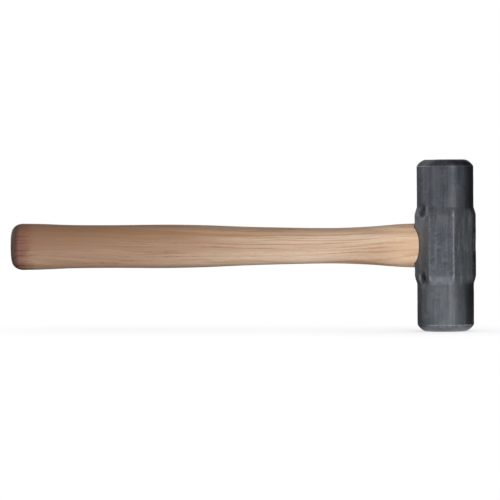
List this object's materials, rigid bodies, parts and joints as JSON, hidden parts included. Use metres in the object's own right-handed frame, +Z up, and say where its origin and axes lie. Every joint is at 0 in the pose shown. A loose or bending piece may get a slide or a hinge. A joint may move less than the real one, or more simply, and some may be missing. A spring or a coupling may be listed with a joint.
{
  "type": "sledgehammer",
  "caption": "Short-handled double-face sledgehammer: octagonal forged steel head wedged on a swelled oval hickory handle.",
  "frame": {"origin": "centre of the lower striking face, which the hammer stands on with its handle level", "axes": "+Z up the head's axis to the upper striking face, the handle leaves the head towards -X, Y across the cheeks"},
  "size_m": [0.3912, 0.047, 0.14],
  "materials": {
    "forged_steel": "satin",
    "hickory": "satin",
    "wedge_wood": "matte",
    "wedge_steel": "satin"
  },
  "bodies": {
    "root": {"steel_head": "forged_steel", "hickory_handle": "hickory", "kerf_wedge": "wedge_wood", "step_wedge_upper": "wedge_steel", "step_wedge_lower": "wedge_steel"}
  },
  "joints": []
}
